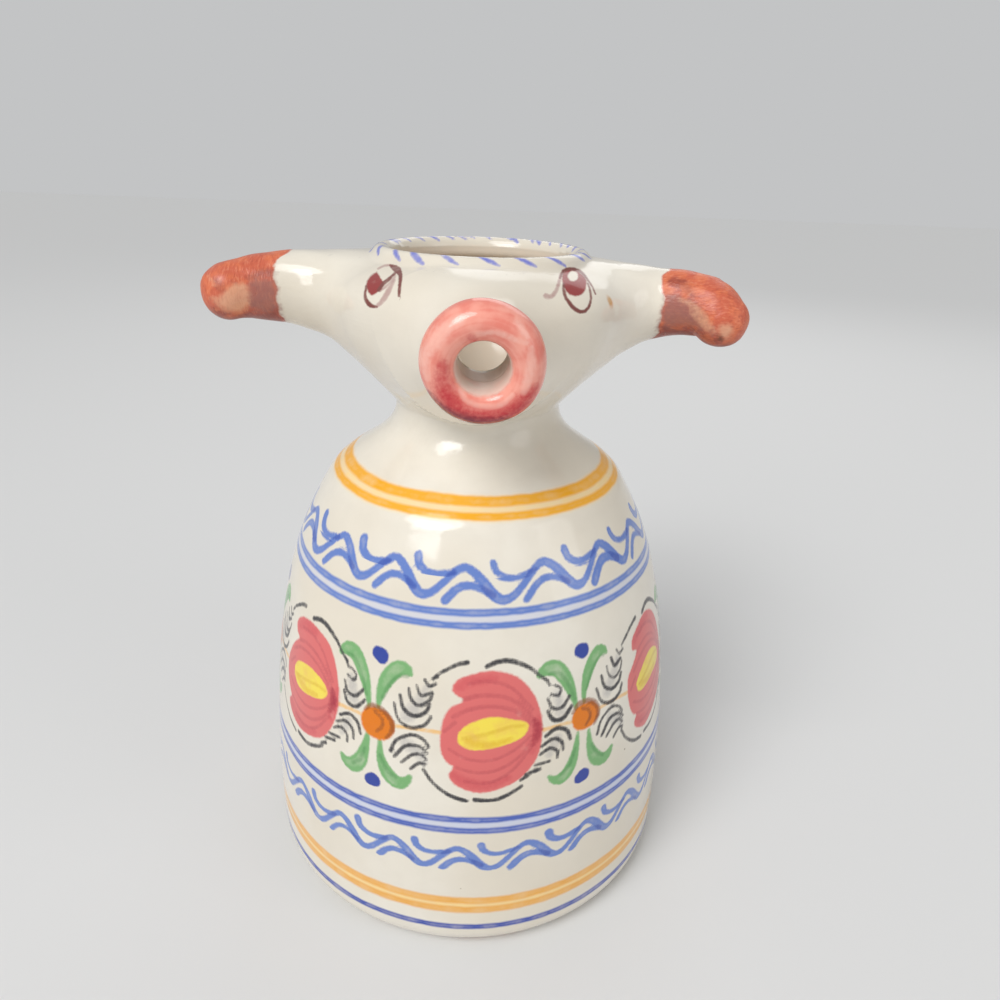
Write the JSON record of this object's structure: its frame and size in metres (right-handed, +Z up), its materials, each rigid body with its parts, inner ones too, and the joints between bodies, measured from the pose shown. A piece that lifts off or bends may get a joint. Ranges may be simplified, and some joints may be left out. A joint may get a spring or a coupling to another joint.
{
  "type": "bull-shaped pitcher",
  "caption": "Bell-shaped glazed earthenware pitcher with a bull's head: filled through the crown, poured through the snout, held by a strap handle at the back.",
  "frame": {"origin": "middle of the flat foot that the pitcher stands on", "axes": "+Z up along the jar's turning axis; the face and the snout look along -Y; the handle is at +Y; the horns lie along X"},
  "size_m": [0.1528, 0.139, 0.2],
  "materials": {
    "white_glaze": "glossy warm white tin glaze, painted in bands",
    "pink_glaze": "glossy streaked pink over white",
    "brown_glaze": "red-brown iron glaze, thin and worn at the tips",
    "bare_clay": "unglazed buff earthenware"
  },
  "bodies": {
    "root": {"floor": "bare_clay", "body_wall": "white_glaze", "shoulder": "white_glaze", "head_bowl": "white_glaze", "mouth_lip": "white_glaze", "muzzle": "white_glaze", "snout_ring": "pink_glaze", "horn_left": "brown_glaze", "horn_right": "brown_glaze", "handle": "white_glaze"}
  },
  "joints": []
}
